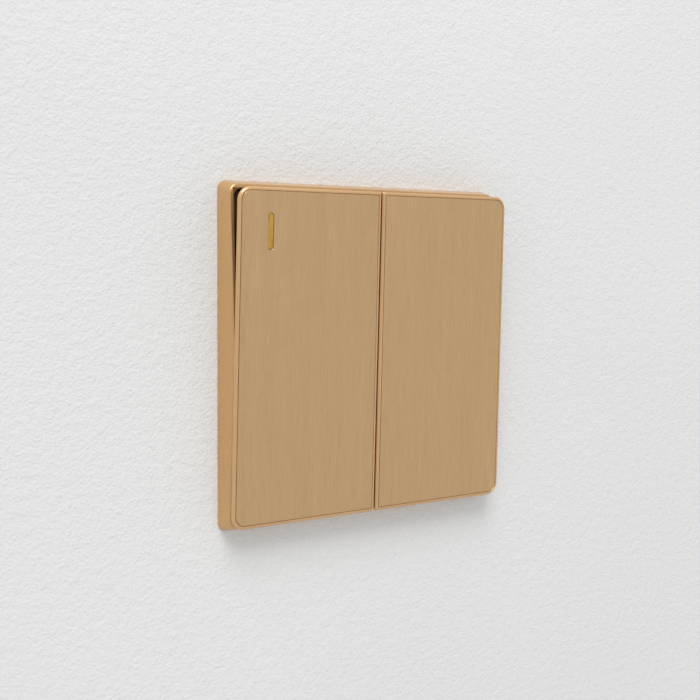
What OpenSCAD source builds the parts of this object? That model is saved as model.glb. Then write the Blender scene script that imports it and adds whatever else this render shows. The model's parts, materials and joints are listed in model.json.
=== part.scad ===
// Two-gang wall switch with full-width rocker panels.
// X is the width, -Y faces the room, +Y goes into the wall, Z is up.
// The origin is the middle of the plate on the wall surface.

/* [Frame] */
// Width and height of the plate at the wall
plate_size = 86; // [84:0.5:90]
// Depth of the frame's side at mid-height, where the two slopes meet
frame_depth = 6.2; // [5.8:0.1:7]
// Draft of the frame's sides, in mm per mm of depth
frame_draft = 0.22; // [0.1:0.02:0.24]
// Outer corner radius of the frame at the wall
frame_corner_r = 2.2; // [2:0.1:3]
// Outer corner radius of the frame at its front edge
frame_front_r = 2.8; // [2.4:0.1:3.2]
// Thickness of the rim at its front edge
rim_t = 0.9; // [0.8:0.1:1.2]
// Thickness of the frame's floor behind the rockers
floor_t = 1.4; // [1:0.1:1.5]

/* [Rockers] */
// Tilt of a rocker each way from the middle, in degrees
rocker_tilt = 2.5; // [2:0.1:2.6]
// Thickness of a rocker panel at its edge
panel_t = 0.85; // [0.8:0.05:1.2]
// Thickness of the pad behind a panel, inside the frame's rim
pad_t = 0.8; // [0.6:0.1:1]
// Overall width of the two rocker panels
panels_w = 84.2; // [83:0.1:84.4]
// Height of the rocker panels
panel_h = 83.4; // [82:0.2:83.6]
// Gap between the two rocker panels
middle_gap = 0.36; // [0.3:0.02:0.6]
// Corner radius of a panel at the outside
panel_corner_r = 3.4; // [3:0.1:4]
// Width of the bevel round a panel
bevel = 0.45; // [0.2:0.05:0.6]
// Width of the border round the inlaid face plate
border_w = 0.85; // [0.7:0.05:1.2]
// Thickness of the inlaid face plate
face_plate_t = 0.4; // [0.3:0.05:0.5]

/* [Indicator] */
// Width of the indicator strip
strip_w = 1.6; // [1.2:0.1:2.4]
// Length of the indicator strip
strip_l = 9; // [6:0.5:14]
// Distance of the strip's middle from the panel's outer edge
strip_from_side = 9; // [8:0.2:16]
// Distance of the strip's top from the panel's top edge
strip_from_top = 6.3; // [5:0.1:12]

/* [Mounting] */
// Distance between the two box screw slots
screw_pitch = 60.3; // [60.3:0.1:60.3]
// Width of a box screw slot
slot_w = 4.2; // [4:0.1:4.6]
// Length of a box screw slot
slot_l = 8.2; // [7:0.2:9]
// Thickness of the steel support plate
support_t = 1.2; // [1:0.1:1.2]

/* [Housing] */
// Width of the housing behind the wall surface
housing_w = 51; // [51:0.5:53]
// Height of the housing
housing_h = 46; // [46:0.5:48]
// Depth of the housing behind the wall surface
housing_d = 24; // [24:0.5:28]
// Thickness of the housing's side walls
side_wall = 2; // [1.8:0.1:2]
// Thickness of the housing's top, bottom and rear walls
end_wall = 1.8; // [1.6:0.1:1.8]
// Thickness of the wall between the two gangs
partition_t = 2.4; // [2.4:0.1:2.6]

/* [Mechanism] */
// Depth of the swing arms' pivot behind the wall surface
pivot_y = 4; // [3.8:0.1:4]
// Radius of the pivot pins
trunnion_r = 2; // [1.6:0.1:2.2]
// Tilt of a contact bridge each way from the middle, in degrees
bridge_tilt = 5.5; // [4:0.25:6]
// Distance of a contact from the bridge's pivot
contact_arm = 9.8; // [9:0.1:10]
// Radius of the wire entries and of the terminals' bores
wire_r = 2; // [1.9:0.05:2]

/* [Hidden] */
LEFT = -1;
RIGHT = 1;
$fn = 64;
corner_fn = 32;
sliver = 0.05;
through = 1;
running = 0.05;

// frame and support plate
floor_front = -2.8;
floor_rear = floor_front + floor_t;
frame_front_half = plate_size / 2 - frame_draft * frame_depth;
rim_inner_half = frame_front_half - rim_t;
rim_inner_r = 1.9;
back_wall = 1.7;
back_pocket_half = plate_size / 2 - back_wall;
frame_window = [71, 40];
hook_w = 8;
hook_t = 1.2;
hook_x = 14;
hook_z = 27;
hook_reach = 1.8;
hook_lip = 0.6;
support_size = [78, 72];
support_corner_r = 2;
support_window = [47, 35];
hook_slot_half_h = 1.3;
hook_slot_shift = 0.3;

// rocker panels, measured in the middle pose, before the rest tilt is applied
rim_gap = 0.6;
panel_rear = -(frame_depth + rim_gap);
pad_rear = panel_rear + pad_t;
pad_inset = 1.75;
panel_front = panel_rear - panel_t;
inner_corner_r = 0.4;
plate_gap = 0.1;
plate_side_inset = border_w + plate_gap;
plate_corner_r = 2.5;
plate_inner_r = 0.3;
rib_t = 1;
rib_h = 1.35;
rib_inset = 2.6;
strip_flange = 0.6;
leg_half_w = 4;
leg_t = 1.6;
leg_lip = 0.8;
leg_hook_gap = 0.1;
leg_hook_t = 0.8;
cross_rib_half_w = 9;
cross_rib_low = 7.5;
cross_rib_high = 8.5;

// one gang's cell inside the housing
cell_w = (housing_w - 2 * side_wall - partition_t) / 2;
cell_x = (partition_t + cell_w) / 2;
cell_h = housing_h - 2 * end_wall;
rear_inner = housing_d - 2;
post_r = 2.2;
post_x = housing_w / 2 - post_r;
post_z = housing_h / 2 - post_r;
post_screw_r = 1;
screw_head_r = 1.8;
screw_head_t = 1.4;
housing_corner_r = 2;
contact_post = [2.2, 1.2];
knife_post = [3.2, 1.6];
guide_x = 4;
guide_half_t = 0.6;
lower_guide_half_t = 1.6;
guide_clearance = 0.4;

// swing arm
arm_half_w = cell_w / 2 - 0.3;
arm_plate_h = 28;
arm_front = -4;
arm_plate_t = 1.6;
arm_rear = arm_front + arm_plate_t;
web_t = 1.6;
web_end = pivot_y + 2.8;
sleeve_r = 3.6;
sleeve_end = 8;
plunger_r = 2.2;
trunnion_l = 1;

// plunger and spring
plunger_front = 3;
ball_y = 10.2;
spring_r = 1.5;
spring_inner_r = 1.05;
pocket_r = 1.6;
pocket_end = 8;

// contact bridge and terminals
bridge_t = 0.8;
bridge_pivot_y = ball_y + plunger_r + bridge_t + running;
bridge_half_w = 2.6;
bridge_half_l = 11.2;
contact_r = 1.3;
contact_base = 0.3;
contact_dome = 0.3;
dome_r = (contact_r * contact_r + contact_dome * contact_dome) / (2 * contact_dome);
dome_y = contact_base + contact_dome - dome_r;
fixed_face = bridge_pivot_y + dome_y * cos(bridge_tilt) + contact_arm * sin(bridge_tilt) + dome_r + running;
fixed_contact_r = 1.6;
fixed_contact_t = 0.8;
strip_front = fixed_face + fixed_contact_t;
terminal_t = 0.8;
strip_rear = strip_front + terminal_t;
ear_gap = 0.3;
ear_t = 0.8;
ear_front = bridge_pivot_y - 1.1;
block_half_w = 3.2;
block_low = 14.2;
block_high = 20.9;
block_front = 13;
block_rear = rear_inner - 0.2;
block_pitch = 10;
bore_z = block_low + 1.2 + wire_r;
bore_end = 14.5;
clamp_r = 1.3;
clamp_y = 18;
clamp_head_r = 2.1;
clamp_head_low = block_high + 0.1;
clamp_head_t = 1.7;
tab_half_w = 1.7;
tab_reach = 2.2;
knife_half = 1.2;
notch_z = 5;
notch_half_l = 2;
notch_depth = 0.8;

// box from one corner to the other
module span(low, high) {
    translate(low) cube([high[0] - low[0], high[1] - low[1], high[2] - low[2]]);
}

// cylinder along Y, from y0 to y1
module rod_y(r, y0, y1, x = 0, z = 0) {
    translate([x, y1, z]) rotate([90, 0, 0]) cylinder(r = r, h = y1 - y0);
}

// cylinder along X, from x0 to x1
module rod_x(r, x0, x1, y = 0, z = 0) {
    translate([x0, y, z]) rotate([0, 90, 0]) cylinder(r = r, h = x1 - x0);
}

// block with four round corners, seen along Y
module round_block(half_x, half_z, r, y0, y1) {
    span([-half_x + r, y0, -half_z], [half_x - r, y1, half_z]);
    span([-half_x, y0, -half_z + r], [half_x, y1, half_z - r]);
    for (sx = [-1, 1], sz = [-1, 1])
        rod_y(r, y0, y1, sx * (half_x - r), sz * (half_z - r));
}

// four thin corner discs, for a hull
module corner_discs(half_x, half_z, r, y) {
    for (sx = [-1, 1], sz = [-1, 1])
        translate([sx * (half_x - r), y, sz * (half_z - r)])
            rotate([90, 0, 0]) cylinder(r = r, h = sliver, center = true, $fn = corner_fn);
}

// turns a gang's moving parts into their rest pose, with the bottom pressed in
module at_rest() {
    translate([0, pivot_y, 0]) rotate([rocker_tilt, 0, 0]) translate([0, -pivot_y, 0]) children();
}

// turns a contact bridge into its rest pose
module bridge_at_rest() {
    translate([0, bridge_pivot_y, 0]) rotate([-bridge_tilt, 0, 0]) translate([0, -bridge_pivot_y, 0]) children();
}

// space in front of one of the rim's two slopes
module slope_cut(sz) {
    translate([0, -frame_depth, 0]) rotate([-sz * rocker_tilt, 0, 0])
        span([-plate_size, -frame_depth, sz < 0 ? -plate_size : 0], [plate_size, 0, sz < 0 ? 0 : plate_size]);
}

// snap hook that holds the frame to the support plate
module frame_hook(sz) {
    z_in = sz * hook_z;
    z_out = sz * (hook_z + hook_t);
    z_lip = sz * (hook_z + hook_t + hook_lip);
    span([-hook_w / 2, floor_rear - sliver, min(z_in, z_out)], [hook_w / 2, hook_reach, max(z_in, z_out)]);
    span([-hook_w / 2, 0.2, min(z_in, z_lip)], [hook_w / 2, hook_reach - 0.4, max(z_in, z_lip)]);
}

module outer_frame() {
    half = plate_size / 2;
    color([0.75, 0.58, 0.38]) {
        difference() {
            hull() {
                corner_discs(half, half, frame_corner_r, -sliver / 2);
                corner_discs(frame_front_half, frame_front_half, frame_front_r, -frame_depth + sliver / 2);
            }
            for (sz = [-1, 1]) slope_cut(sz);
            round_block(rim_inner_half, rim_inner_half, rim_inner_r, -frame_depth - through, floor_front);
            round_block(back_pocket_half, back_pocket_half, rim_inner_r, floor_rear, through);
            span([-frame_window[0] / 2, -frame_depth, -frame_window[1] / 2],
                [frame_window[0] / 2, through, frame_window[1] / 2]);
        }
        for (sx = [-1, 1], sz = [-1, 1])
            translate([sx * hook_x, 0, 0]) frame_hook(sz);
    }
}

module screw_slot(sx) {
    reach = (slot_l - slot_w) / 2;
    for (end = [-1, 1])
        rod_y(slot_w / 2, -support_t - through, through, sx * screw_pitch / 2 + end * reach);
    span([sx * screw_pitch / 2 - reach, -support_t - through, -slot_w / 2],
        [sx * screw_pitch / 2 + reach, through, slot_w / 2]);
}

module support_plate() {
    slot_half_w = hook_w / 2 + 0.5;
    color([0.72, 0.74, 0.76]) difference() {
        round_block(support_size[0] / 2, support_size[1] / 2, support_corner_r, -support_t, 0);
        span([-support_window[0] / 2, -support_t - through, -support_window[1] / 2],
            [support_window[0] / 2, through, support_window[1] / 2]);
        for (sx = [-1, 1]) screw_slot(sx);
        for (sx = [-1, 1], sz = [-1, 1]) {
            translate([sx * hook_x, 0, sz * (hook_z + hook_t / 2 + hook_slot_shift)])
                span([-slot_half_w, -support_t - through, -hook_slot_half_h],
                    [slot_half_w, through, hook_slot_half_h]);
            rod_y(post_screw_r, -support_t - through, through, sx * post_x, sz * post_z);
        }
    }
}

// side walls, partition and corner posts that the cover and the base share
module housing_walls(y0, y1) {
    difference() {
        round_block(housing_w / 2, housing_h / 2, housing_corner_r, y0, y1);
        for (side = [LEFT, RIGHT])
            span([side * cell_x - cell_w / 2, y0 - through, -cell_h / 2],
                [side * cell_x + cell_w / 2, y1 + through, cell_h / 2]);
    }
    for (sx = [-1, 1], sz = [-1, 1])
        rod_y(post_r, y0, y1, sx * post_x, sz * post_z);
}

// bores for the pivot pins and for the long screws
module bearing_and_screw_bores(y0, y1) {
    reach = cell_x + cell_w / 2 + trunnion_l + 0.1;
    rod_x(trunnion_r + running, -reach, reach, pivot_y);
    for (sx = [-1, 1], sz = [-1, 1])
        rod_y(post_screw_r + running, y0 - through, y1 + through, sx * post_x, sz * post_z);
}

module bearing_cover() {
    color([0.92, 0.92, 0.9]) difference() {
        housing_walls(0, pivot_y);
        bearing_and_screw_bores(0, pivot_y);
    }
}

// where a gang's terminal blocks stand: [x, side of the cell]
function block_places(side) = [
    [side * cell_x, 1],
    [side * cell_x - block_pitch / 2, -1],
    [side * cell_x + block_pitch / 2, -1]];

module base_housing() {
    color([0.92, 0.92, 0.9]) difference() {
        union() {
            housing_walls(pivot_y, housing_d - sliver);
            round_block(housing_w / 2, housing_h / 2, housing_corner_r, rear_inner, housing_d);
            for (side = [LEFT, RIGHT]) translate([side * cell_x, 0, 0]) {
                for (sz = [-1, 1])
                    span([-contact_post[0], strip_rear, sz * contact_arm - contact_post[1]],
                        [contact_post[0], rear_inner, sz * contact_arm + contact_post[1]]);
                span([-knife_post[0], strip_rear, -knife_post[1]], [knife_post[0], rear_inner, knife_post[1]]);
                for (sx = [-1, 1])
                    span([sx * guide_x - guide_half_t, block_front, block_low - guide_clearance],
                        [sx * guide_x + guide_half_t, rear_inner, cell_h / 2]);
                span([-lower_guide_half_t, block_front, -cell_h / 2], [lower_guide_half_t, rear_inner, -block_low]);
            }
        }
        bearing_and_screw_bores(pivot_y, housing_d);
        for (sx = [-1, 1], sz = [-1, 1])
            rod_y(screw_head_r + 0.15, housing_d - screw_head_t - 0.1, housing_d + through, sx * post_x, sz * post_z);
        for (side = [LEFT, RIGHT], place = block_places(side)) {
            rod_y(wire_r, rear_inner - through, housing_d + through, place[0], place[1] * bore_z);
            translate([place[0], clamp_y, place[1] * (cell_h / 2 - sliver) + (place[1] < 0 ? -end_wall - through : 0)])
                cylinder(r = clamp_head_r + 0.3, h = end_wall + through + sliver);
        }
    }
}

// cross slot in a screw head that faces +Y
module cross_slot_y(x, z, y, size) {
    for (turn = [0, 90])
        translate([x, y, z]) rotate([0, turn, 0]) cube([size, 1.2, 0.5], center = true);
}

module housing_screws() {
    color([0.7, 0.71, 0.72]) for (sx = [-1, 1], sz = [-1, 1]) difference() {
        union() {
            rod_y(post_screw_r, -support_t + 0.1, housing_d - screw_head_t, sx * post_x, sz * post_z);
            rod_y(screw_head_r, housing_d - screw_head_t, housing_d - 0.1, sx * post_x, sz * post_z);
        }
        cross_slot_y(sx * post_x, sz * post_z, housing_d, 2.4);
    }
}

// corner discs of one panel, with a larger radius at the outside of the pair
module panel_discs(side, inset, y) {
    low = middle_gap / 2 + inset;
    high = panels_w / 2 - inset;
    outer_r = panel_corner_r - inset / 2;
    for (sz = [-1, 1]) {
        translate([side * (high - outer_r), y, sz * (panel_h / 2 - inset - outer_r)])
            rotate([90, 0, 0]) cylinder(r = outer_r, h = sliver, center = true, $fn = corner_fn);
        translate([side * (low + inner_corner_r), y, sz * (panel_h / 2 - inset - inner_corner_r)])
            rotate([90, 0, 0]) cylinder(r = inner_corner_r, h = sliver, center = true, $fn = corner_fn);
    }
}

// outline of the inlaid plate, grown by a margin, as a solid from y0 to y1
module plate_solid(side, margin, y0, y1) {
    low = middle_gap / 2 + plate_side_inset - margin;
    high = panels_w / 2 - plate_side_inset + margin;
    half_z = panel_h / 2 - plate_side_inset + margin;
    outer_r = plate_corner_r + margin;
    inner_r = max(plate_inner_r + margin, running);
    mirror([side < 0 ? 1 : 0, 0, 0]) {
        span([low + inner_r, y0, -half_z], [high - outer_r, y1, half_z]);
        span([low, y0, -half_z + inner_r], [low + inner_r, y1, half_z - inner_r]);
        span([high - outer_r, y0, -half_z + outer_r], [high, y1, half_z - outer_r]);
        for (sz = [-1, 1]) {
            rod_y(outer_r, y0, y1, high - outer_r, sz * (half_z - outer_r));
            rod_y(inner_r, y0, y1, low + inner_r, sz * (half_z - inner_r));
        }
    }
}

// strip-shaped solid with round ends, in the panel's corner
module strip_solid(margin, y0, y1) {
    x = -panels_w / 2 + strip_from_side;
    r = strip_w / 2 + margin;
    top = panel_h / 2 - strip_from_top - strip_w / 2;
    bottom = top - strip_l + strip_w;
    rod_y(r, y0, y1, x, top);
    rod_y(r, y0, y1, x, bottom);
    span([x - r, y0, bottom], [x + r, y1, top]);
}

// legs that clip over the ends of the swing arm, and ribs that rest on it
module panel_legs() {
    leg_z = arm_plate_h / 2 + 0.2;
    hook_front = arm_rear + leg_hook_gap;
    hook_rear = hook_front + leg_hook_t;
    for (sz = [-1, 1]) mirror([0, 0, sz < 0 ? 1 : 0]) {
        span([-leg_half_w, pad_rear - sliver, leg_z], [leg_half_w, hook_rear, leg_z + leg_t]);
        span([-leg_half_w, hook_front, leg_z - leg_lip], [leg_half_w, hook_rear, leg_z]);
        span([-cross_rib_half_w, pad_rear - sliver, cross_rib_low], [cross_rib_half_w, arm_front, cross_rib_high]);
    }
}

module rocker_body(side) {
    rib_low = middle_gap / 2 + rib_inset;
    rib_high = panels_w / 2 - rib_inset;
    rib_half_z = panel_h / 2 - rib_inset;
    color([0.78, 0.6, 0.4]) at_rest() {
        difference() {
            hull() {
                panel_discs(side, 0, panel_rear - sliver / 2);
                panel_discs(side, 0, panel_front + bevel);
                panel_discs(side, bevel, panel_front + sliver / 2);
            }
            plate_solid(side, plate_gap, panel_front - through, panel_front + face_plate_t);
            if (side == LEFT) strip_solid(0, panel_front - through, panel_rear + through);
        }
        difference() {
            plate_solid(side, plate_side_inset - pad_inset, panel_rear - sliver, pad_rear);
            if (side == LEFT) strip_solid(0, panel_rear - through, pad_rear + through);
        }
        mirror([side < 0 ? 1 : 0, 0, 0]) difference() {
            span([rib_low, pad_rear - sliver, -rib_half_z], [rib_high, pad_rear + rib_h, rib_half_z]);
            span([rib_low + rib_t, pad_rear - through, -rib_half_z + rib_t],
                [rib_high - rib_t, pad_rear + rib_h + through, rib_half_z - rib_t]);
        }
        translate([side * cell_x, 0, 0]) panel_legs();
    }
}

module rocker_plate(side) {
    color([0.73, 0.6, 0.45]) at_rest() difference() {
        plate_solid(side, 0, panel_front, panel_front + face_plate_t);
        if (side == LEFT) strip_solid(0.05, panel_front - through, panel_front + face_plate_t + through);
    }
}

module indicator_strip() {
    color([0.8, 0.58, 0.2]) at_rest() {
        strip_solid(0, panel_front + 0.05, pad_rear);
        strip_solid(strip_flange, pad_rear, pad_rear + strip_flange);
    }
}

module swing_arm(side) {
    web_outline = [[arm_rear - sliver, -arm_plate_h / 2 + 1], [arm_rear - sliver, arm_plate_h / 2 - 1],
        [pivot_y, 4.5], [web_end, 2.6], [web_end, -2.6], [pivot_y, -4.5]];
    color([0.95, 0.95, 0.94]) at_rest() translate([side * cell_x, 0, 0]) difference() {
        union() {
            span([-arm_half_w, arm_front, -arm_plate_h / 2], [arm_half_w, arm_rear, arm_plate_h / 2]);
            for (sx = [-1, 1]) {
                translate([sx * (arm_half_w - web_t / 2), 0, 0]) rotate([90, 0, 90])
                    linear_extrude(height = web_t, center = true) polygon(web_outline);
                rod_x(trunnion_r, min(sx * arm_half_w, sx * (arm_half_w + 0.3 + trunnion_l)) - (sx > 0 ? sliver : 0),
                    max(sx * arm_half_w, sx * (arm_half_w + 0.3 + trunnion_l)) + (sx < 0 ? sliver : 0), pivot_y);
            }
            rod_y(sleeve_r, arm_rear - sliver, sleeve_end);
        }
        rod_y(plunger_r + running, arm_rear, sleeve_end + through);
    }
}

module spring(side) {
    color([0.6, 0.62, 0.64]) at_rest() translate([side * cell_x, 0, 0]) difference() {
        rod_y(spring_r, arm_rear + running, pocket_end - running);
        rod_y(spring_inner_r, arm_rear - through, pocket_end + through);
    }
}

module plunger(side) {
    color([0.85, 0.85, 0.8]) at_rest() translate([side * cell_x, 0, 0]) difference() {
        union() {
            rod_y(plunger_r, plunger_front, ball_y);
            translate([0, ball_y, 0]) sphere(r = plunger_r);
        }
        rod_y(pocket_r, plunger_front - through, pocket_end);
    }
}

module contact_bridge(side) {
    color([0.8, 0.5, 0.3]) bridge_at_rest() translate([side * cell_x, 0, 0]) difference() {
        span([-bridge_half_w, bridge_pivot_y - bridge_t, -bridge_half_l], [bridge_half_w, bridge_pivot_y, bridge_half_l]);
        for (sz = [-1, 1]) {
            rod_y(contact_r / 2, bridge_pivot_y - bridge_t - through, bridge_pivot_y + through, 0, sz * contact_arm);
            for (sx = [-1, 1])
                span([sx * bridge_half_w - notch_depth, bridge_pivot_y - bridge_t - through, sz * notch_z - notch_half_l],
                    [sx * bridge_half_w + notch_depth, bridge_pivot_y + through, sz * notch_z + notch_half_l]);
        }
    }
}

module moving_contacts(side) {
    color([0.85, 0.85, 0.86]) bridge_at_rest() translate([side * cell_x, bridge_pivot_y, 0]) for (sz = [-1, 1]) {
        intersection() {
            rod_y(contact_r, 0, contact_base + contact_dome + sliver, 0, sz * contact_arm);
            translate([0, dome_y, sz * contact_arm]) sphere(r = dome_r, $fn = 128);
        }
        rod_y(contact_r / 2, -bridge_t, sliver, 0, sz * contact_arm);
        rod_y(contact_r * 0.8, -bridge_t - contact_base, -bridge_t, 0, sz * contact_arm);
    }
}

// brass block with a wire bore along Y and a threaded hole for the clamp screw
module terminal_block(sz) {
    mirror([0, 0, sz < 0 ? 1 : 0]) difference() {
        span([-block_half_w, block_front, block_low], [block_half_w, block_rear, block_high]);
        rod_y(wire_r, bore_end, block_rear + through, 0, bore_z);
        translate([0, clamp_y, bore_z]) cylinder(r = clamp_r + running / 2, h = block_high);
    }
}

module upper_terminal(side) {
    color([0.83, 0.68, 0.35]) translate([side * cell_x, 0, 0]) {
        terminal_block(1);
        span([-bridge_half_w, strip_front, contact_arm - tab_reach], [bridge_half_w, strip_rear, block_low + sliver]);
    }
}

module lower_terminal(side) {
    block_x = -side * block_pitch / 2;
    inner = -side * (block_pitch / 2 + tab_half_w);
    color([0.83, 0.68, 0.35]) translate([side * cell_x, 0, 0]) {
        translate([block_x, 0, 0]) terminal_block(-1);
        span([min(side * bridge_half_w, inner), strip_front, -contact_arm - tab_reach],
            [max(side * bridge_half_w, inner), strip_rear, -contact_arm + tab_reach]);
        span([block_x - tab_half_w, strip_front, -block_low - sliver],
            [block_x + tab_half_w, strip_rear, -contact_arm]);
    }
}

module common_terminal(side) {
    block_x = side * block_pitch / 2;
    outer = side * (block_pitch / 2 + tab_half_w);
    ear_x = bridge_half_w + ear_gap;
    color([0.83, 0.68, 0.35]) translate([side * cell_x, 0, 0]) {
        translate([block_x, 0, 0]) terminal_block(-1);
        span([min(-side * (ear_x + ear_t), outer), strip_front, -2], [max(-side * (ear_x + ear_t), outer), strip_rear, 2]);
        span([min(side * (ear_x + ear_t + 0.1), outer), strip_front, -block_low - sliver],
            [max(side * (ear_x + ear_t + 0.1), outer), strip_rear, 0]);
        for (sx = [-1, 1])
            span([sx * (ear_x + ear_t / 2) - ear_t / 2, ear_front, -1.6],
                [sx * (ear_x + ear_t / 2) + ear_t / 2, strip_front + sliver, 1.6]);
        rotate([90, 0, 90]) linear_extrude(height = 2 * bridge_half_w, center = true)
            polygon([[bridge_pivot_y + running, 0], [strip_front + sliver, knife_half], [strip_front + sliver, -knife_half]]);
    }
}

module fixed_contacts(side) {
    color([0.85, 0.85, 0.86]) for (sz = [-1, 1])
        rod_y(fixed_contact_r, fixed_face, strip_front, side * cell_x, sz * contact_arm);
}

module terminal_screws(side) {
    tip = bore_z + wire_r + 0.1;
    color([0.7, 0.71, 0.72]) for (place = block_places(side)) mirror([0, 0, place[1] < 0 ? 1 : 0])
        translate([place[0], clamp_y, 0]) difference() {
            union() {
                translate([0, 0, tip]) cylinder(r = clamp_r, h = clamp_head_low - tip + sliver);
                translate([0, 0, clamp_head_low]) cylinder(r = clamp_head_r, h = clamp_head_t);
            }
            translate([0, 0, clamp_head_low + clamp_head_t]) cube([2 * clamp_head_r + through, 0.6, 1.2], center = true);
        }
}

outer_frame();
support_plate();
bearing_cover();
base_housing();
housing_screws();
rocker_body(LEFT);  // left_rocker_body
rocker_body(RIGHT);  // right_rocker_body
rocker_plate(LEFT);  // left_rocker_plate
rocker_plate(RIGHT);  // right_rocker_plate
indicator_strip();
swing_arm(LEFT);  // left_swing_arm
swing_arm(RIGHT);  // right_swing_arm
spring(LEFT);  // left_spring
spring(RIGHT);  // right_spring
plunger(LEFT);  // left_plunger
plunger(RIGHT);  // right_plunger
contact_bridge(LEFT);  // left_contact_bridge
contact_bridge(RIGHT);  // right_contact_bridge
moving_contacts(LEFT);  // left_moving_contacts
moving_contacts(RIGHT);  // right_moving_contacts
common_terminal(LEFT);  // left_common_terminal
common_terminal(RIGHT);  // right_common_terminal
upper_terminal(LEFT);  // left_upper_terminal
upper_terminal(RIGHT);  // right_upper_terminal
lower_terminal(LEFT);  // left_lower_terminal
lower_terminal(RIGHT);  // right_lower_terminal
fixed_contacts(LEFT);  // left_fixed_contacts
fixed_contacts(RIGHT);  // right_fixed_contacts
terminal_screws(LEFT);  // left_terminal_screws
terminal_screws(RIGHT);  // right_terminal_screws
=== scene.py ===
import json
import math

import bmesh
import bpy
import numpy as np
from mathutils import Matrix, Vector


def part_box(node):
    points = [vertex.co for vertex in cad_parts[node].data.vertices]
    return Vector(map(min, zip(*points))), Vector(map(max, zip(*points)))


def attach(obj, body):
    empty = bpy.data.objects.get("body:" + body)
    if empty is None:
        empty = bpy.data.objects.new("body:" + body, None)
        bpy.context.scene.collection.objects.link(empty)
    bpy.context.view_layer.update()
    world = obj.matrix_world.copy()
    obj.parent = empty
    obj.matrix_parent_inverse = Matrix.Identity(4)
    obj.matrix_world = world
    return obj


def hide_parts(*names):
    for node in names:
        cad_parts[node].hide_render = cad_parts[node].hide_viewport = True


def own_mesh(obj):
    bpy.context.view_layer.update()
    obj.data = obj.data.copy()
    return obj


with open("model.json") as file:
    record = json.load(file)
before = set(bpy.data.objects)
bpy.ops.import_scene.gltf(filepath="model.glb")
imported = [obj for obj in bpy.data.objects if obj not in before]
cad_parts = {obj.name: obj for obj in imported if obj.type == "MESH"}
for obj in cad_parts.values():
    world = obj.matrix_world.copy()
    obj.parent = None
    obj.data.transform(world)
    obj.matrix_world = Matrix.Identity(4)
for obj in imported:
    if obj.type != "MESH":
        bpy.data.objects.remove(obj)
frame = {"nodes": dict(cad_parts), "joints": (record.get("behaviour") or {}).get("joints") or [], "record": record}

mm = 0.001
overlap = 0.05 * mm  # how far a piece starts inside the one that it grows from
scene = bpy.context.scene
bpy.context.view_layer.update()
sides = ("left", "right")
print("frame loaded:", len(frame["nodes"]), "nodes")


# joints, pivots and boxes are read from the frame
jointOf = {j["name"]: j for j in frame["joints"]}


def pivotOf(jointName):
    return np.array(jointOf[jointName]["pos_m"])


def restTilt():  # half of a rocker's travel: the panels rest that far from their middle pose
    low, high = jointOf["left_rocker_tilt"]["range_deg"]
    return math.radians(high - low) / 2


def turnX(points, pivot, angle):  # rotation about a line along X through pivot
    y, z = points[..., 1] - pivot[1], points[..., 2] - pivot[2]
    turned = np.array(points, float)
    turned[..., 1] = pivot[1] + y * math.cos(angle) - z * math.sin(angle)
    turned[..., 2] = pivot[2] + y * math.sin(angle) + z * math.cos(angle)
    return turned


def nodePoints(node):
    mesh = frame["nodes"][node].data
    points = np.empty(len(mesh.vertices) * 3, np.float32)
    mesh.vertices.foreach_get("co", points)
    return points.reshape(-1, 3).astype(float)


def levelBox(node, side):  # a rocker node's box with the rest tilt taken off
    points = turnX(nodePoints(node), pivotOf(side + "_rocker_tilt"), -restTilt())
    return points.min(0), points.max(0)


def outline(halfX, halfZ, radii, centre=(0, 0), cornerSteps=10, sideSteps=8):
    # rounded rectangle as one ring of points (x, z): four arcs, joined by evenly divided sides
    radii = np.broadcast_to(np.asarray(radii, float), (4,))
    signs = np.array([[1, 1], [-1, 1], [-1, -1], [1, -1]], float)
    ring, arcs = [], []
    for corner in range(4):
        middle = signs[corner] * (np.array([halfX, halfZ]) - radii[corner])
        angle = math.pi / 2 * (corner + np.linspace(0, 1, cornerSteps + 1))
        arcs.append(middle + radii[corner] * np.stack([np.cos(angle), np.sin(angle)], 1))
    for corner in range(4):
        start, stop = arcs[corner][-1], arcs[(corner + 1) % 4][0]
        share = np.linspace(0, 1, sideSteps + 1)[1:-1, None]
        ring += [arcs[corner], start + (stop - start) * share]
    return np.concatenate(ring) + np.asarray(centre, float)


def ringAt(ring, y):  # a ring of (x, z) placed at depth y, a number or one value a point
    return np.stack([ring[:, 0], np.broadcast_to(y, ring[:, :1].shape[0]), ring[:, 1]], 1)


def gridQuads(rows, columns, closeRows):
    # quads between neighbouring rows; columns wrap round, rows wrap only when the profile is a loop
    i = np.arange(rows if closeRows else rows - 1)[:, None]
    j = np.arange(columns)[None, :]
    nextRow, nextColumn = (i + 1) % rows, (j + 1) % columns
    corners = [i * columns + j, i * columns + nextColumn,
               nextRow * columns + nextColumn, nextRow * columns + j]
    return np.stack(np.broadcast_arrays(*corners), -1).reshape(-1, 4)


def signedVolume(points, *faceSets):  # sum of the tetrahedra between the origin and each triangle
    total = 0.0
    for faces in faceSets:
        for k in range(1, faces.shape[1] - 1):
            a, b, c = points[faces[:, 0]], points[faces[:, k]], points[faces[:, k + 1]]
            total += float(np.einsum("ij,ij->", a, np.cross(b, c))) / 6
    return total


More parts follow.
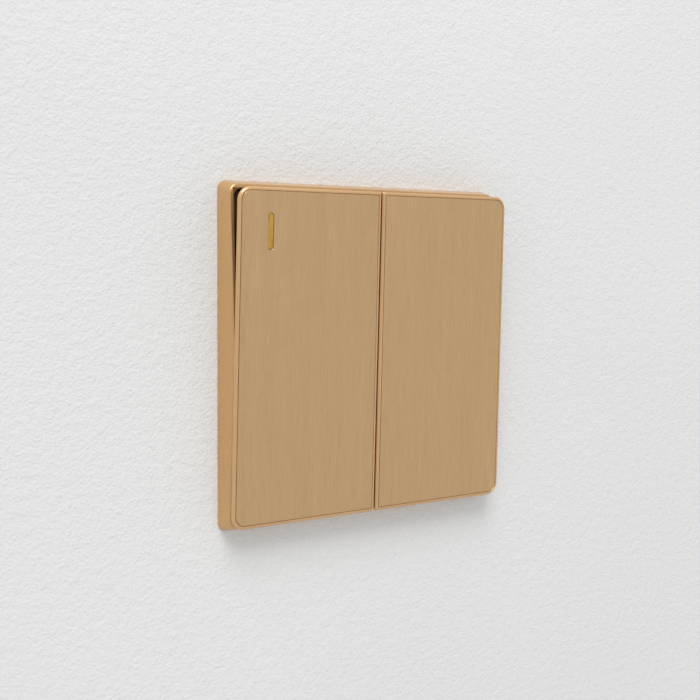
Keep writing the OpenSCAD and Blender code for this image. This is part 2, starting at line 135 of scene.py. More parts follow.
def sweptShell(rows, closed):
    # closed shell from rows of rings: the profile is a loop, or its two ends are capped by fans
    # round the rings' middles. A shell is (points, quads, triangles), with its faces turned outwards
    rows = np.array(rows)
    count, columns = rows.shape[:2]
    points = rows.reshape(-1, 3)
    quads = gridQuads(count, columns, closed)
    triangles = np.zeros((0, 3), int)
    if not closed:
        points = np.concatenate([points, rows[0].mean(0)[None], rows[-1].mean(0)[None]])
        j = np.arange(columns)
        k = (j + 1) % columns
        first, end = np.full(columns, count * columns), (count - 1) * columns
        triangles = np.concatenate([np.stack([first, k, j], 1),
                                    np.stack([first + 1, end + j, end + k], 1)])
    if signedVolume(points, quads, triangles) < 0:
        quads, triangles = quads[:, ::-1], triangles[:, ::-1]
    return points, quads, triangles


def joined(shells):  # several closed shells as one
    starts = np.cumsum([0] + [len(shell[0]) for shell in shells])
    return (np.concatenate([shell[0] for shell in shells]),
            np.concatenate([shell[1] + start for shell, start in zip(shells, starts)]),
            np.concatenate([shell[2] + start for shell, start in zip(shells, starts)]))


def newPiece(name, points, quads, triangles, sharpAngle=32):
    mesh = bpy.data.meshes.new(name)
    mesh.from_pydata(points.tolist(), [], quads.tolist() + triangles.tolist())
    mesh.update()
    mesh.polygons.foreach_set("use_smooth", np.ones(len(mesh.polygons), bool))
    mesh.set_sharp_from_angle(angle=math.radians(sharpAngle))
    piece = bpy.data.objects.new(name, mesh)
    scene.collection.objects.link(piece)
    return piece


def place(piece, body, slot, material, *nodes):
    piece.data.materials.clear()
    piece.data.materials.append(material)
    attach(piece, body)
    if nodes:
        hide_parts(*nodes)


def prismX(x0, x1, profile):
    # straight prism along X whose section is a ring of (y, z) corners
    profile = np.array(profile, float)
    rows = [np.column_stack([np.full(len(profile), x), profile]) for x in (x0, x1)]
    return sweptShell(rows, closed=False)


def quarterRound(radius, steps=4):  # [inset, drop] pairs from the side of an edge round to its top
    angle = np.linspace(0, math.pi / 2, steps + 1)
    return np.stack([radius * (1 - np.cos(angle)), radius * (1 - np.sin(angle))], 1)


class Signal:
    # wraps an output socket, so that a sum or a product of two of them adds its Math node
    def __init__(self, maker, socket):
        self.maker = maker
        self.socket = socket

    def combine(self, operation, first, second):
        return self.maker.node("ShaderNodeMath", {"operation": operation}, {0: first, 1: second})

    def __add__(self, other):
        return self.combine("ADD", self, other)

    def __radd__(self, other):
        return self.combine("ADD", other, self)

    def __sub__(self, other):
        return self.combine("SUBTRACT", self, other)

    def __rsub__(self, other):
        return self.combine("SUBTRACT", other, self)

    def __mul__(self, other):
        return self.combine("MULTIPLY", self, other)

    def __rmul__(self, other):
        return self.combine("MULTIPLY", other, self)

    def __abs__(self):
        return self.maker.node("ShaderNodeMath", {"operation": "ABSOLUTE"}, {0: self})


class Finish:
    # one material and the nodes that it is made of
    def __init__(self, name):
        self.material = bpy.data.materials.new(name)
        self.material.use_nodes = True
        self.tree = self.material.node_tree
        self.tree.nodes.clear()
        self.output = self.tree.nodes.new("ShaderNodeOutputMaterial")
        self.shader = self.tree.nodes.new("ShaderNodeBsdfPrincipled")
        self.tree.links.new(self.shader.outputs["BSDF"], self.output.inputs["Surface"])

    def node(self, kind, settings, inputs, output=0):
        made = self.tree.nodes.new(kind)
        for key, value in settings.items():
            setattr(made, key, value)
        for key, value in inputs.items():
            self.feed(made.inputs[key], value)
        return Signal(self, made.outputs[output])

    def feed(self, socket, value):
        if isinstance(value, Signal):
            self.tree.links.new(value.socket, socket)
        else:
            socket.default_value = value

    def set(self, **values):
        for key, value in values.items():
            self.feed(self.shader.inputs[key.replace("_", " ")], value)

    def position(self, scale=(1, 1, 1)):  # Object coordinates in metres, stretched by scale
        objectSpace = self.node("ShaderNodeTexCoord", {}, {}, "Object")
        return self.node("ShaderNodeMapping", {}, {"Vector": objectSpace, "Scale": scale})

    def noise(self, stretch, detail=3.0, roughness=0.55):
        return self.node("ShaderNodeTexNoise", {},
                         {"Vector": self.position(stretch), "Scale": 1.0, "Detail": detail,
                          "Roughness": roughness}, "Fac")

    def ramp(self, fac, low, high):  # spreads the part of fac between low and high over 0 to 1
        return self.node("ShaderNodeMapRange", {"clamp": True},
                         {"Value": fac, "From Min": low, "From Max": high, "To Min": 0.0, "To Max": 1.0})

    def blendColours(self, fac, first, second):
        first, second = (c if isinstance(c, Signal) else (*c, 1.0) for c in (first, second))
        return self.node("ShaderNodeMix", {"data_type": "RGBA"}, {0: fac, 6: first, 7: second}, 2)

    def axes(self):  # the three Object coordinates, in metres
        objectSpace = self.node("ShaderNodeTexCoord", {}, {}, "Object")
        return [self.node("ShaderNodeSeparateXYZ", {}, {"Vector": objectSpace}, k) for k in range(3)]

    def bump(self, height, strength, distance):
        return self.node("ShaderNodeBump", {},
                         {"Height": height, "Strength": strength, "Distance": distance})


def satinGold(name, look):
    # moulded plastic with a metallic pearl: fine flakes, a soft cloud and a faint moulded grain.
    # Behind a depth range given in the look and inside look["within"] of the middle, a near-black colour is
    # painted in:
    # painted shade for the gaps round the rim and under the panels, which also stands for the dark unpainted back
    # of the moulding
    finish = Finish(name)
    x, y, z = finish.axes()
    lean, pivotDepth = look["lean"], pivotOf("left_rocker_tilt")[1]
    depth = pivotDepth + (y - pivotDepth) * math.cos(lean) + z * math.sin(lean)
    # painted shade mask: 1 behind the given depths and inside the rim, where the gaps between the parts fall into
    # shade
    bare = finish.ramp(depth, *look["sprayed"])
    for axis in (x, z):
        bare = bare * (1.0 - finish.ramp(abs(axis), look["within"], look["within"] + 0.1 * mm))
    cloud = finish.ramp(finish.noise((35, 35, 35), 2.0), 0.3, 0.7)
    flake = finish.ramp(finish.noise((9000, 9000, 9000), 1.0), 0.42, 0.62)
    shade = finish.ramp(0.35 * cloud + 0.65 * flake, 0.0, 1.0)
    gold = finish.blendColours(shade, look["dark"], look["light"])
    # the painted shade darkens the colour, roughens it and takes away its metal and coat
    finish.set(Base_Color=finish.blendColours(bare, gold, look["bare"]),
               Roughness=look["roughness"] + 0.08 * flake + 0.2 * bare,
               Normal=finish.bump(finish.noise((5000, 5000, 5000), 2.0), 0.1, 0.00002),
               Metallic=look["metallic"] - look["metallic"] * bare,
               Coat_Weight=look["coat"] - look["coat"] * bare, Coat_Roughness=0.16)
    return finish.material


def brushedGold(name, look):
    # anodised sheet with vertical brushing: three widths of streak, long in Z and narrow in X
    finish = Finish(name)
    broad = finish.ramp(finish.noise((260, 260, 7), 2.0), 0.3, 0.7)
    middle = finish.ramp(finish.noise((2600, 2600, 18), 2.0), 0.3, 0.7)
    fine = finish.ramp(finish.noise((8000, 8000, 50), 2.0), 0.28, 0.72)
    streaks = 0.2 * broad + 0.35 * middle + 0.45 * fine
    finish.set(Base_Color=finish.blendColours(streaks, look["dark"], look["light"]),
               Roughness=look["roughness"] + look["roughnessSpread"] * streaks,
               Normal=finish.bump(0.4 * middle + 0.6 * fine, look["bump"], 0.00001),
               Metallic=look["metallic"])
    return finish.material


def amberMoulding(name, look):
    finish = Finish(name)
    cloud = finish.ramp(finish.noise((900, 900, 260), 2.0), 0.3, 0.7)
    finish.set(Base_Color=finish.blendColours(cloud, look["dark"], look["light"]),
               Roughness=0.3 + 0.08 * cloud, Coat_Weight=0.4, Coat_Roughness=0.12)
    return finish.material


def mouldedPlastic(name, look):
    finish = Finish(name)
    cloud = finish.ramp(finish.noise((60, 60, 60), 3.0), 0.3, 0.7)
    grain = finish.noise((4200, 4200, 4200), 2.0)
    finish.set(Base_Color=finish.blendColours(cloud, look["dark"], look["light"]),
               Roughness=look["roughness"] + 0.12 * finish.ramp(grain, 0.3, 0.7),
               Normal=finish.bump(grain, 0.16, 0.00003))
    return finish.material


def bareMetal(name, look):
    # metal with soft tarnish clouds and fine drawing lines along one axis
    finish = Finish(name)
    cloud = finish.ramp(finish.noise((160, 160, 160), 4.0), 0.3, 0.72)
    lines = finish.ramp(finish.noise(look["lines"], 2.0), 0.3, 0.7)
    finish.set(Base_Color=finish.blendColours(0.6 * cloud + 0.4 * lines, look["dark"], look["light"]),
               Roughness=look["roughness"] + 0.14 * cloud + 0.06 * lines,
               Normal=finish.bump(lines, 0.1, 0.00001), Metallic=1.0)
    return finish.material


looks = {
    # the last two entries of each gold look place and colour the painted shade: near-black in the gaps round the
    # rim and behind the panels
    "frame_gold": (satinGold, dict(dark=(0.59, 0.337, 0.136), light=(0.7, 0.418, 0.188), roughness=0.28,
                                   metallic=0.55, coat=0.35, lean=0.0, within=41 * mm,
                                   sprayed=(-5.9 * mm, -4.2 * mm), bare=(0.09, 0.03, 0.008))),
    "rocker_gold": (satinGold, dict(dark=(0.62, 0.375, 0.175), light=(0.76, 0.475, 0.24), roughness=0.32,
                                    metallic=0.55, coat=0.22, lean=restTilt(), within=50 * mm,
                                    sprayed=(-6.85 * mm, -6.7 * mm), bare=(0.09, 0.03, 0.008))),
    "brushed_gold": (brushedGold, dict(dark=(0.57, 0.37, 0.183), light=(0.735, 0.49, 0.266), bump=0.2,
                                       roughness=0.36, roughnessSpread=0.08, metallic=0.8)),
    "amber_strip": (amberMoulding, dict(dark=(0.4, 0.2, 0.02), light=(0.56, 0.31, 0.045))),
    "housing_white": (mouldedPlastic, dict(dark=(0.78, 0.78, 0.75), light=(0.86, 0.86, 0.84),
                                           roughness=0.42)),
    "arm_white": (mouldedPlastic, dict(dark=(0.82, 0.82, 0.8), light=(0.9, 0.9, 0.88), roughness=0.36)),
    "plunger_resin": (mouldedPlastic, dict(dark=(0.6, 0.56, 0.46), light=(0.72, 0.68, 0.58),
                                           roughness=0.34)),
    "zinc_steel": (bareMetal, dict(dark=(0.5, 0.51, 0.5), light=(0.68, 0.69, 0.68),
                                   roughness=0.3, lines=(60, 60, 2500))),
    "screw_steel": (bareMetal, dict(dark=(0.48, 0.48, 0.46), light=(0.72, 0.72, 0.7),
                                    roughness=0.26, lines=(2500, 2500, 2500))),
    "spring_steel": (bareMetal, dict(dark=(0.34, 0.34, 0.35), light=(0.55, 0.56, 0.57),
                                     roughness=0.24, lines=(4000, 400, 4000))),
    "bridge_copper": (bareMetal, dict(dark=(0.56, 0.25, 0.13), light=(0.78, 0.42, 0.26),
                                      roughness=0.24, lines=(3000, 3000, 80))),
    "terminal_brass": (bareMetal, dict(dark=(0.55, 0.36, 0.12), light=(0.78, 0.58, 0.25),
                                       roughness=0.26, lines=(3000, 3000, 80))),
    "contact_silver": (bareMetal, dict(dark=(0.68, 0.67, 0.64), light=(0.86, 0.85, 0.83),
                                       roughness=0.2, lines=(2500, 2500, 2500))),
}
materials = {slot: make(slot, look) for slot, (make, look) in looks.items()}
print("materials made:", len(materials))


frameShape = {
    "depth": 6.2 * mm,          # depth of the sides at mid-height
    "draft": 0.22,              # inward lean of the sides
    "wallCorner": 2.2 * mm, "frontCorner": 2.8 * mm,
    "rimThickness": 0.9 * mm,
    "rimInnerRadius": 1.9 * mm,
    "outerEdge": 0.4 * mm,      # rounding of the front outer edge
    "innerEdge": 0.18 * mm,     # rounding of the rim's inner edge
    "wallEdge": 0.2 * mm,       # rounding of the edge on the wall
    "floorFront": -2.8 * mm,
    "floorThickness": 1.4 * mm,
    "floorFillet": 0.5 * mm,
    "backWall": 1.7 * mm,       # thickness of the sides at the wall
    "window": (35.5 * mm, 20.0 * mm),
    "windowRadius": 0.8 * mm,
    "hookX": 14 * mm, "hookZ": 27 * mm, "hookWidth": 8 * mm,
    "hookThickness": 1.2 * mm, "hookReach": 1.8 * mm, "hookLip": 0.6 * mm,
    "lipStart": 0.2 * mm, "lipSlope": 0.4 * mm,
}


def frameRings(shape):
    # the closed section of the frame, carried round the plate's outline. Front points follow the
    # rim's two slopes: depth(z) = depth - |z| tan(tilt), with the sides' draft applied to that depth
    low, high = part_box("outer_frame")
    half = (high.x - low.x) / 2
    depth, wallCorner, frontCorner = shape["depth"], shape["wallCorner"], shape["frontCorner"]
    slope = math.tan(restTilt())
    frontHalf = half - shape["draft"] * depth
    rimHalf, rimRadius = frontHalf - shape["rimThickness"], shape["rimInnerRadius"]
    backHalf = half - shape["backWall"]
    floorRear = shape["floorFront"] + shape["floorThickness"]

    def plain(halfX, halfZ, radius, y):
        return ringAt(outline(halfX, halfZ, radius), y)

    def leaning(inset, depthShare, drop):
        atWall = outline(half - inset, half - inset, wallCorner - inset)
        atFront = outline(frontHalf - inset, frontHalf - inset, frontCorner - inset)
        local = (depth - np.abs(atFront[:, 1]) * slope) * depthShare - drop
        ring = atWall + (atFront - atWall) * (local / depth)[:, None]
        return ringAt(ring, -local)

    def rimInner(inset, drop):
        ring = outline(rimHalf + inset, rimHalf + inset, rimRadius + inset)
        return ringAt(ring, -(depth - np.abs(ring[:, 1]) * slope) + drop)

    rings = [plain(backHalf, backHalf, rimRadius, 0.0)]
    rings += [leaning(inset, 0.0, -drop) for inset, drop in quarterRound(shape["wallEdge"])[::-1]]
    rings += [leaning(0.0, share, 0.0) for share in (0.3, 0.6, 0.85)]
    rings += [leaning(inset, 1.0, drop) for inset, drop in quarterRound(shape["outerEdge"], 5)]
    rings += [rimInner(inset, drop) for inset, drop in quarterRound(shape["innerEdge"])[::-1]]
    fillet = shape["floorFillet"]
    for inset, drop in quarterRound(fillet):
        rings.append(plain(rimHalf - inset, rimHalf - inset, rimRadius - inset, shape["floorFront"] - drop))
    windowX, windowZ = shape["window"]
    rings += [plain(windowX, windowZ, shape["windowRadius"], y) for y in (shape["floorFront"], floorRear)]
    rings.append(plain(backHalf, backHalf, rimRadius, floorRear))
    return rings


def frameHooks(shape):
    # four snap hooks, each a hooked section in (y, z) run along X
    rear = shape["floorFront"] + shape["floorThickness"] - overlap
    base, tip = shape["hookZ"], shape["hookZ"] + shape["hookThickness"]
    reach, lip, start = shape["hookReach"], shape["hookLip"], shape["lipStart"]
    section = np.array([[rear, base], [rear, tip], [start, tip], [start, tip + lip],
                        [reach - shape["lipSlope"], tip + lip], [reach, tip], [reach, base]])
    shells = []
    for sx in (-1, 1):
        for sz in (-1, 1):
            middle = sx * shape["hookX"]
            shells.append(prismX(middle - shape["hookWidth"] / 2, middle + shape["hookWidth"] / 2,
                                 section * [1, sz]))
    return shells


frameBody = newPiece("frame_shell", *sweptShell(frameRings(frameShape), closed=True))
place(frameBody, "base", "frame_gold", materials["frame_gold"], "outer_frame")
hooks = newPiece("frame_hooks", *joined(frameHooks(frameShape)))
place(hooks, "base", "frame_gold", materials["frame_gold"])
print("outer frame made")


panelShape = {
    "edgeThickness": 0.85 * mm,
    "padInset": 1.75 * mm, "padThickness": 0.8 * mm,  # the thicker middle, inside the frame's rim
    "outerCorner": 3.4 * mm, "innerCorner": 0.4 * mm,
    "bevelPoints": ((0, 0.51), (0.03, 0.45), (0.35, 0.09), (0.45, 0.03), (0.55, 0)),  # inset, drop in mm
    "softEdge": 0.12 * mm,       # rounding of the small edges
    "border": 0.85 * mm,         # from the outside to the groove
    "grooveChamfer": 0.1 * mm,
    "recessGap": 0.02 * mm, "recessDraft": 0.01 * mm,  # behind the sheet and down the recess's side
    "leastOuter": 0.15 * mm, "leastInner": 0.12 * mm,  # smallest corner radii
    "plateThickness": 0.4 * mm, "plateGap": 0.1 * mm,
    "plateCorner": 2.5 * mm, "plateInnerCorner": 0.3 * mm,
    "plateEdge": 0.16 * mm,      # rounding of the sheet's front edge
    "plateRearEdge": 0.1 * mm,
    "flatMargin": 0.12 * mm,     # from a rounded edge to the ring that keeps the front face flat
    "ribInset": 2.6 * mm, "ribThickness": 1.0 * mm, "ribHeight": 1.35 * mm, "ribDraft": 0.05 * mm,
    "slotChamfer": 0.06 * mm,    # round the strip's slot in the sheet
}
stripShape = {"width": 1.6 * mm, "fromSide": 9.0 * mm, "fromTop": 6.3 * mm, "length": 9.0 * mm,
              "gap": 0.05 * mm, "below": 0.05 * mm, "crown": 0.16 * mm, "edge": 0.2 * mm, "flange": 0.6 * mm,
              "innerShare": 0.8, "crownSteps": 6, "endRadius": 0.999}  # endRadius: share of half the width


def panelPlaces(side):
    # a panel's place in its middle pose: centre, half sizes and the depths of its faces and its pad
    low, high = levelBox(side + "_rocker_body", side)
    front = low[1]
    return {"centre": ((low[0] + high[0]) / 2, (low[2] + high[2]) / 2),
            "halfX": (high[0] - low[0]) / 2, "halfZ": (high[2] - low[2]) / 2,
            "front": front, "rear": front + panelShape["edgeThickness"],
            "padRear": front + panelShape["edgeThickness"] + panelShape["padThickness"]}


def cornerRadii(side, outer, inner):  # corners in the outline's order: +x+z, -x+z, -x-z, +x-z
    return (outer, inner, inner, outer) if side == "right" else (inner, outer, outer, inner)


def stripRing(margin, y):  # the strip's outline, a slot with round ends, grown by margin
    places = panelPlaces("left")
    x = places["centre"][0] - places["halfX"] + stripShape["fromSide"]
    top = places["centre"][1] + places["halfZ"] - stripShape["fromTop"]
    halfX = stripShape["width"] / 2 + margin
    halfZ = stripShape["length"] / 2 + margin
    radius = halfX * stripShape["endRadius"]
    return ringAt(outline(halfX, halfZ, radius, (x, top - stripShape["length"] / 2)), y)


def panelRing(side, inset, y, outer, inner):  # the panel's outline, moved in by inset
    places = panelPlaces(side)
    radii = cornerRadii(side, max(outer - inset, panelShape["leastOuter"]),
                        max(inner - inset, panelShape["leastInner"]))
    return ringAt(outline(places["halfX"] - inset, places["halfZ"] - inset, radii, places["centre"]), y)


def panelRings(side):
    # section from the middle of the rear face, over the stiffening rib and the pad's side, round
    # the edge and the bevelled border, down the groove and across the floor of the recess
    s = panelShape
    places = panelPlaces(side)
    front, rear, padRear = places["front"], places["rear"], places["padRear"]

    def ring(inset, y):
        return panelRing(side, inset, y, s["outerCorner"], s["innerCorner"])

    ribIn, ribTop, soft = s["ribInset"] + s["ribThickness"], padRear + s["ribHeight"], s["softEdge"]
    draft = s["ribDraft"]
    rings = [ring(ribIn, padRear), ring(ribIn - draft, ribTop), ring(s["ribInset"] + draft, ribTop),
             ring(s["ribInset"], padRear), ring(s["padInset"], padRear), ring(s["padInset"], rear),
             ring(soft, rear), ring(0.0, rear - soft)]
    rings += [ring(inset * mm, front + drop * mm) for inset, drop in s["bevelPoints"]]
    groove = s["grooveChamfer"]
    rings += [ring(s["border"] - groove, front), ring(s["border"], front + groove)]
    floor = front + s["plateThickness"] + s["recessGap"]
    rings.append(ring(s["border"] + s["recessDraft"], floor))
    return rings, floor


def plateRings(side):
    # the inlaid sheet: rear face, edge, a rounded front edge and the front face
    s = panelShape
    places = panelPlaces(side)
    inset, front, chamfer = s["border"] + s["plateGap"], places["front"], s["plateRearEdge"]
    rear = front + s["plateThickness"]

    def ring(extra, y):
        radii = cornerRadii(side, s["plateCorner"] - extra, s["plateInnerCorner"] - extra)
        return ringAt(outline(places["halfX"] - inset - extra, places["halfZ"] - inset - extra, radii,
                              places["centre"]), y)

    rings = [ring(chamfer, rear), ring(0.0, rear - chamfer)]
    rings += [ring(extra, front + drop) for extra, drop in quarterRound(s["plateEdge"])]
    return rings + [ring(s["plateEdge"] + s["flatMargin"], front)]


def tilted(shell, side):  # puts a shell made in the middle pose into the rest pose
    return turnX(shell[0], pivotOf(side + "_rocker_tilt"), restTilt()), *shell[1:]


clipShape = {
    "legHalfWidth": 4 * mm, "legGap": 0.2 * mm, "legThickness": 1.6 * mm, "legTaper": 0.3 * mm,
    "hookGap": 0.1 * mm, "hookThickness": 0.8 * mm, "hookLip": 0.8 * mm,
    "hookChamfer": 0.1 * mm,
    "armPlate": 1.6 * mm,       # thickness of the swing arm's plate
    "ribHalfWidth": 9 * mm, "ribLow": 7.5 * mm, "ribHigh": 8.5 * mm, "ribTaper": 0.1 * mm,
}


def clipShells(side):
    # legs that hook over the swing arm's ends, and the two ribs that rest on it
    armLow, armHigh = levelBox(side + "_swing_arm", side)
    places = panelPlaces(side)
    x = (armLow[0] + armHigh[0]) / 2
    top = armHigh[2]
    rear = places["padRear"] - overlap
    s = clipShape
    hookFront = armLow[1] + s["armPlate"] + s["hookGap"]
    hookRear = hookFront + s["hookThickness"]
    inner, outer = top + s["legGap"], top + s["legGap"] + s["legThickness"]
    leg = np.array([[rear, inner], [rear, outer], [hookRear, outer - s["legTaper"]],
                    [hookRear, inner - s["hookChamfer"]],
                    [hookFront, inner - s["hookLip"]], [hookFront, inner]])
    rib = np.array([[rear, s["ribLow"]], [rear, s["ribHigh"]],
                    [armLow[1], s["ribHigh"] - s["ribTaper"]], [armLow[1], s["ribLow"] + s["ribTaper"]]])
    shells = []
    for sz in (-1, 1):
        shells.append(prismX(x - s["legHalfWidth"], x + s["legHalfWidth"], leg * [1, sz]))
        shells.append(prismX(x - s["ribHalfWidth"], x + s["ribHalfWidth"], rib * [1, sz]))
    return shells


for side in sides:
    rings, floor = panelRings(side)
    sheet = plateRings(side)
    withSlot = side == "left"
    if withSlot:    # the strip's slot goes through the panel and the sheet
        rings = [stripRing(0.0, panelPlaces(side)["padRear"])] + rings + [stripRing(0.0, floor)]
        plateFront = panelPlaces(side)["front"]
        hole, chamfer = stripShape["gap"], panelShape["slotChamfer"]
        sheet += [stripRing(hole + chamfer + panelShape["flatMargin"], plateFront),
                  stripRing(hole + chamfer, plateFront), stripRing(hole, plateFront + chamfer),
                  stripRing(hole, plateFront + panelShape["plateThickness"])]
    body = newPiece(side + "_panel", *tilted(sweptShell(rings, closed=withSlot), side))
    place(body, side + "_rocker", "rocker_gold", materials["rocker_gold"], side + "_rocker_body")
    clips = newPiece(side + "_panel_clips", *tilted(joined(clipShells(side)), side))
    place(clips, side + "_rocker", "rocker_gold", materials["rocker_gold"])
    plate = newPiece(side + "_face_plate", *tilted(sweptShell(sheet, closed=withSlot), side))
    place(plate, side + "_rocker", "brushed_gold", materials["brushed_gold"], side + "_rocker_plate")


def stripLens():
    # slightly crowned strip: the height falls off as an ellipse towards its edge
    places = panelPlaces("left")
    front = places["front"] + stripShape["below"]
    edge = stripShape["edge"]
    half, flange = stripShape["width"] / 2, stripShape["flange"]
    inset = np.linspace(stripShape["innerShare"], 0.0, stripShape["crownSteps"]) * half
    crown = stripShape["crown"] * (1 - np.sqrt(1 - (1 - inset / half) ** 2))
    rings = [stripRing(-i, front + c) for i, c in zip(inset, crown)]
    rear = places["padRear"]
    rings += [stripRing(0.0, rear), stripRing(flange, rear), stripRing(flange, rear + flange - edge),
              stripRing(flange - edge, rear + flange)]
    return sweptShell(rings, closed=False)


strip = newPiece("strip_lens", *tilted(stripLens(), "left"))
place(strip, "left_rocker", "amber_strip", materials["amber_strip"], "indicator_strip")
print("rocker panels made")


springShape = {"wireRadius": 0.22 * mm, "turns": 9, "closedTurns": 1, "around": 10, "stepsPerTurn": 20}


def coil(side):
    # helix round the plunger's axis: the pitch is close at both ends and open between, and a
    # circle is carried along it
    low, high = levelBox(side + "_spring", side)
    shape = springShape
    radius = (high[0] - low[0]) / 2 - shape["wireRadius"]
    centreX, centreZ = (low[0] + high[0]) / 2, (low[2] + high[2]) / 2
    t = np.linspace(0, 1, shape["turns"] * shape["stepsPerTurn"] + 1)
    angle = 2 * math.pi * shape["turns"] * t
    closed = shape["closedTurns"] / shape["turns"]
    ends = 2 * shape["wireRadius"] * shape["closedTurns"]
    start, stop = low[1] + shape["wireRadius"], high[1] - shape["wireRadius"]
    y = np.interp(t, [0, closed, 1 - closed, 1], [start, start + ends, stop - ends, stop])
    path = np.stack([centreX + radius * np.cos(angle), y, centreZ + radius * np.sin(angle)], 1)
    along = np.gradient(path, axis=0)
    along /= np.linalg.norm(along, axis=1, keepdims=True)
    outward = np.stack([np.cos(angle), 0 * angle, np.sin(angle)], 1)
    across = np.cross(along, outward)
    around = 2 * math.pi * np.arange(shape["around"]) / shape["around"]
    rows = (path[:, None] + shape["wireRadius"] * (np.cos(around)[None, :, None] * outward[:, None]
            + np.sin(around)[None, :, None] * across[:, None]))
    return sweptShell(rows, closed=False)


def shortenWithPlunger(spring, side):
    # the spring's ends in the rest pose and the share of its length that the plunger's travel would take off are
    # worked out but not used; the spring only gets a mesh of its own
    low, high = levelBox(side + "_spring", side)
    middle = (low + high) / 2
    ends = np.array([[middle[0], low[1], middle[2]], [middle[0], high[1], middle[2]]])
    fixed, free = turnX(ends, pivotOf(side + "_rocker_tilt"), restTilt())
    slide = side + "_plunger_slide"
    travel = max(jointOf[slide]["range_m"])
    tuple(free - fixed)
    1 - travel / (high[1] - low[1])
    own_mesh(spring)


for side in sides:
    spring = newPiece(side + "_coil_spring", *tilted(coil(side), side))
    place(spring, side + "_rocker", "spring_steel", materials["spring_steel"], side + "_spring")
    shortenWithPlunger(spring, side)
print("springs made")


# pieces that keep their CAD shape get soft edges
softShape = {"mergeDistance": 1e-6, "flatAngle": 0.5, "sharpAngle": 35, "bevelAngle": 40, "segments": 2}


def softenedCopy(node, body, slot, width):
    # a merged copy of a CAD node with its flat faces joined up and its edges rounded
    mesh = frame["nodes"][node].data.copy()
    mesh.name = node + "_soft"
    work = bmesh.new()
    work.from_mesh(mesh)
    bmesh.ops.remove_doubles(work, verts=work.verts, dist=softShape["mergeDistance"])
    bmesh.ops.dissolve_limit(work, angle_limit=math.radians(softShape["flatAngle"]),
                             verts=work.verts, edges=work.edges)
    work.to_mesh(mesh)
    work.free()
    mesh.polygons.foreach_set("use_smooth", np.ones(len(mesh.polygons), bool))
    mesh.set_sharp_from_angle(angle=math.radians(softShape["sharpAngle"]))
    piece = bpy.data.objects.new(node + "_soft", mesh)
    scene.collection.objects.link(piece)
    bevel = piece.modifiers.new("soft_edges", "BEVEL")
    bevel.width = width
    bevel.segments = softShape["segments"]
    bevel.limit_method = "ANGLE"
    bevel.angle_limit = math.radians(softShape["bevelAngle"])
    bevel.harden_normals = True
    place(piece, body, slot, materials[slot], node)


slotOf = {s["node"]: s["material_slot"] for s in frame["record"]["subparts"]}
bodyOf = {n: b for b, members in frame["record"]["behaviour"]["bodies"].items() for n in members}
edgeWidths = {
    "support_plate": 0.1 * mm, "bearing_cover": 0.2 * mm, "base_housing": 0.3 * mm,
    "housing_screws": 0.1 * mm,
    "swing_arm": 0.2 * mm, "plunger": 0.08 * mm, "contact_bridge": 0.08 * mm,
    "common_terminal": 0.12 * mm, "upper_terminal": 0.12 * mm, "lower_terminal": 0.12 * mm,
    "moving_contacts": 0.05 * mm, "fixed_contacts": 0.1 * mm, "terminal_screws": 0.12 * mm,
}
for node in sorted(frame["nodes"]):
    kind = node.replace("left_", "").replace("right_", "")
    if kind in edgeWidths:
        softenedCopy(node, bodyOf[node], slotOf[node], edgeWidths[kind])
print("inner pieces finished")


roomShape = {"wallHalf": 1.6, "wallDepth": 0.05 * mm, "floorDrop": 0.9, "floorDepth": 2.4,
             "cutOutInset": 0.3 * mm, "cutOutRadius": 1.9 * mm}


def paintedWall():
    # matt paint with a fine orange-peel texture; its back lets everything through
    finish = Finish("wall_paint")
    peel = 0.6 * finish.noise((480, 480, 480), 3.0) + 0.4 * finish.noise((1300, 1300, 1300), 2.0)
    cloud = finish.ramp(finish.noise((6, 6, 6), 2.0), 0.3, 0.7)
    finish.set(Base_Color=finish.blendColours(cloud, (0.79, 0.79, 0.787), (0.82, 0.82, 0.817)),
               Roughness=0.8 + 0.1 * cloud, Normal=finish.bump(peel, 0.8, 0.0006))
    clear = finish.node("ShaderNodeBsdfTransparent", {}, {})
    behind = finish.node("ShaderNodeNewGeometry", {}, {}, "Backfacing")
    painted = Signal(finish, finish.shader.outputs["BSDF"])
    mixed = finish.node("ShaderNodeMixShader", {}, {0: behind, 1: painted, 2: clear})
    finish.feed(finish.output.inputs["Surface"], mixed)
    return finish.material


def paleFloor():
    finish = Finish("floor_paint")
    cloud = finish.ramp(finish.noise((3, 3, 3), 3.0), 0.3, 0.7)
    finish.set(Base_Color=finish.blendColours(cloud, (0.74, 0.74, 0.73), (0.78, 0.78, 0.77)), Roughness=0.9)
    return finish.material


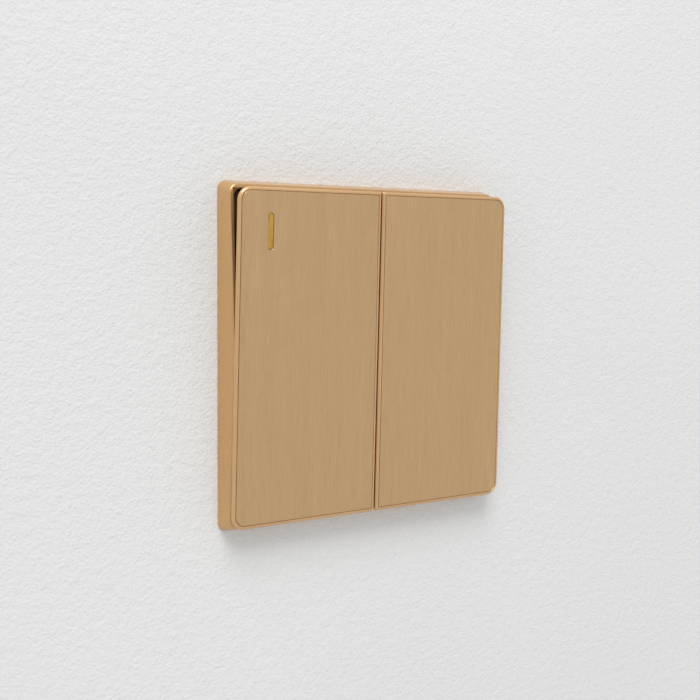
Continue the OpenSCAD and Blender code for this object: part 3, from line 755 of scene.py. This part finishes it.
def buildRoom():
    # the cut-out reaches under the frame's rim, so that light from behind gets to its back
    low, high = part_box("outer_frame")
    holeHalf = (high.x - low.x) / 2 - roomShape["cutOutInset"]
    hole = outline(holeHalf, holeHalf, roomShape["cutOutRadius"])
    half, depth = roomShape["wallHalf"], roomShape["wallDepth"]
    points = np.concatenate([ringAt(hole, depth), ringAt(outline(half, half, 10 * mm), depth)])
    wall = newPiece("wall", points, gridQuads(2, len(hole), False)[:, ::-1], np.zeros((0, 3), int))
    wall.data.materials.append(paintedWall())
    drop, deep = -roomShape["floorDrop"], roomShape["floorDepth"]
    corners = np.array([[-half, -deep, drop], [half, -deep, drop], [half, deep, drop], [-half, deep, drop]])
    floor = newPiece("floor", corners, np.array([[0, 1, 2, 3]]), np.zeros((0, 3), int))
    floor.data.materials.append(paleFloor())


def areaLight(name, location, size, power):  # a square lamp that faces the origin
    lamp = bpy.data.lights.new(name, "AREA")
    lamp.shape = "SQUARE"
    lamp.size = size
    lamp.energy = power
    holder = bpy.data.objects.new(name, lamp)
    holder.location = location
    holder.rotation_euler = (-Vector(location)).to_track_quat("-Z", "Y").to_euler()
    scene.collection.objects.link(holder)


lightShape = {
    "sky": (0.99, 0.995, 1.0), "skyStrength": 0.68,
    "key_light": ((-0.35, -0.8, 1.3), 0.9, 15.0),   # place, size, power in watts
    "back_light": ((0.6, 1.2, 0.6), 1.0, 9.0),
}


def studioLight():
    world = bpy.data.worlds.new("soft_sky")
    world.use_nodes = True
    background = world.node_tree.nodes["Background"]
    background.inputs["Color"].default_value = (*lightShape["sky"], 1.0)
    background.inputs["Strength"].default_value = lightShape["skyStrength"]
    scene.world = world
    for name in ("key_light", "back_light"):
        areaLight(name, *lightShape[name])


cameraPlace = {
    "location": (-0.1861, -0.2700, 0.0218),
    "aim": (0.0129, -0.00847, 0.0188),
    "lens": 63.6, "shift": (-0.1008, -0.1029), "sensor": 36, "clipStart": 0.01,
}


def placeCamera():
    view = cameraPlace
    data = bpy.data.cameras.new("camera")
    data.lens = view["lens"]
    data.sensor_width = view["sensor"]
    data.shift_x, data.shift_y = view["shift"]
    data.clip_start = view["clipStart"]
    camera = bpy.data.objects.new("camera", data)
    location = Vector(view["location"])
    turn = (Vector(view["aim"]) - location).to_track_quat("-Z", "Y").to_matrix()
    camera.matrix_world = Matrix.Translation(location) @ turn.to_4x4()
    scene.collection.objects.link(camera)
    scene.camera = camera


buildRoom()
studioLight()
placeCamera()
scene.view_settings.view_transform = "Standard"
print("room, light and camera placed")
